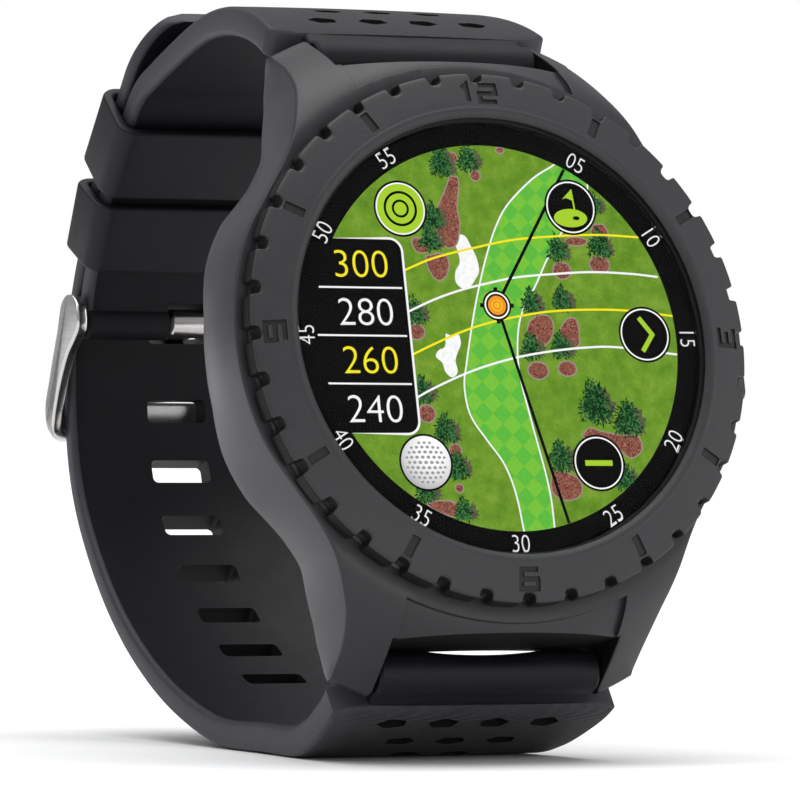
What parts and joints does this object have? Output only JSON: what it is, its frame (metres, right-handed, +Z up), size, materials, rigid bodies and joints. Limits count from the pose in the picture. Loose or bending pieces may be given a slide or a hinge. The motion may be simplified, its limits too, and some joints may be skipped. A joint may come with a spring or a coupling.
{
  "type": "golf gps watch",
  "caption": "Round golf gps watch with a notched turning bezel, side push button and a buckled rubber strap, standing on the strap's loop.",
  "frame": {"origin": "middle of the underside of the box round the buckled watch, on the floor", "axes": "+X towards the button at 3 o'clock, +Y from the glass back to the buckle, +Z up; the dial leans back 14 degrees"},
  "size_m": [0.0508, 0.0838, 0.0689],
  "materials": {
    "case_plastic": "satin dark grey moulded plastic",
    "bezel_plastic": "fine-textured dark grey plastic",
    "strap_rubber": "matte charcoal silicone rubber",
    "seal_rubber": "black seal rubber",
    "steel": "polished and brushed stainless steel",
    "glass": "clear flat cover glass",
    "dial_black": "black printed dial ring",
    "screen": "lit colour display showing a green course map",
    "inner_plastic": "grey moulded plastic",
    "board_green": "green circuit board",
    "battery_foil": "foil and tinned sheet",
    "gold": "gold-plated contacts"
  },
  "bodies": {
    "head_and_strap": {"case_body": "case_plastic", "lens_glass": "glass", "lens_gasket": "seal_rubber", "minute_ring": "dial_black", "display_panel": "screen", "bezel_spring": "steel", "antenna_ring": "gold", "inner_frame": "inner_plastic", "main_board": "board_green", "shield_can": "battery_foil", "battery": "battery_foil", "vibration_motor": "steel", "button_switch": "inner_plastic", "rear_cover": "inner_plastic", "rear_gasket": "seal_rubber", "cover_screw_1": "steel", "cover_screw_2": "steel", "cover_screw_3": "steel", "cover_screw_4": "steel", "contact_block": "inner_plastic", "charging_pin_1": "gold", "charging_pin_2": "gold", "charging_pin_3": "gold", "charging_pin_4": "gold", "button_seal": "seal_rubber", "lower_strap": "strap_rubber", "upper_strap": "strap_rubber", "spring_bar_upper": "steel", "spring_bar_lower": "steel", "buckle_bar": "steel"},
    "bezel": {"bezel_ring": "bezel_plastic"},
    "button": {"button_cap": "case_plastic", "stem_clip": "steel"},
    "buckle": {"buckle_frame": "steel"},
    "tongue": {"buckle_tongue": "steel"},
    "loop_upper": {"keeper_upper": "strap_rubber"},
    "loop_lower": {"keeper_lower": "strap_rubber"}
  },
  "joints": [
    {"name": "bezel_turn", "type": "hinge", "parent": "head_and_strap", "child": "bezel", "pos_m": [-0.00065, -0.03587, 0.0378], "axis": [0, -0.9703, 0.2419], "continuous": true},
    {"name": "button_press", "type": "slide", "parent": "head_and_strap", "child": "button", "axis": [-1, 0, 0], "range_m": [0, 0.0006], "stiffness_N_per_m": 2000, "springref_m": -0.0004},
    {"name": "buckle_swing", "type": "hinge", "parent": "head_and_strap", "child": "buckle", "pos_m": [-0.00065, 0.03357, 0.03976], "axis": [1, 0, 0], "range_deg": [0, 8]},
    {"name": "tongue_lift", "type": "hinge", "parent": "buckle", "child": "tongue", "pos_m": [-0.00065, 0.03357, 0.03976], "axis": [1, 0, 0], "range_deg": [0, 6]},
    {"name": "keeper_upper_slide", "type": "slide", "parent": "head_and_strap", "child": "loop_upper", "axis": [0, -0.6293, 0.7771], "range_m": [-0.0004, 0.0024]},
    {"name": "keeper_lower_slide", "type": "slide", "parent": "head_and_strap", "child": "loop_lower", "axis": [0, 0.4305, -0.9026], "range_m": [-0.0004, 0.0028]}
  ]
}
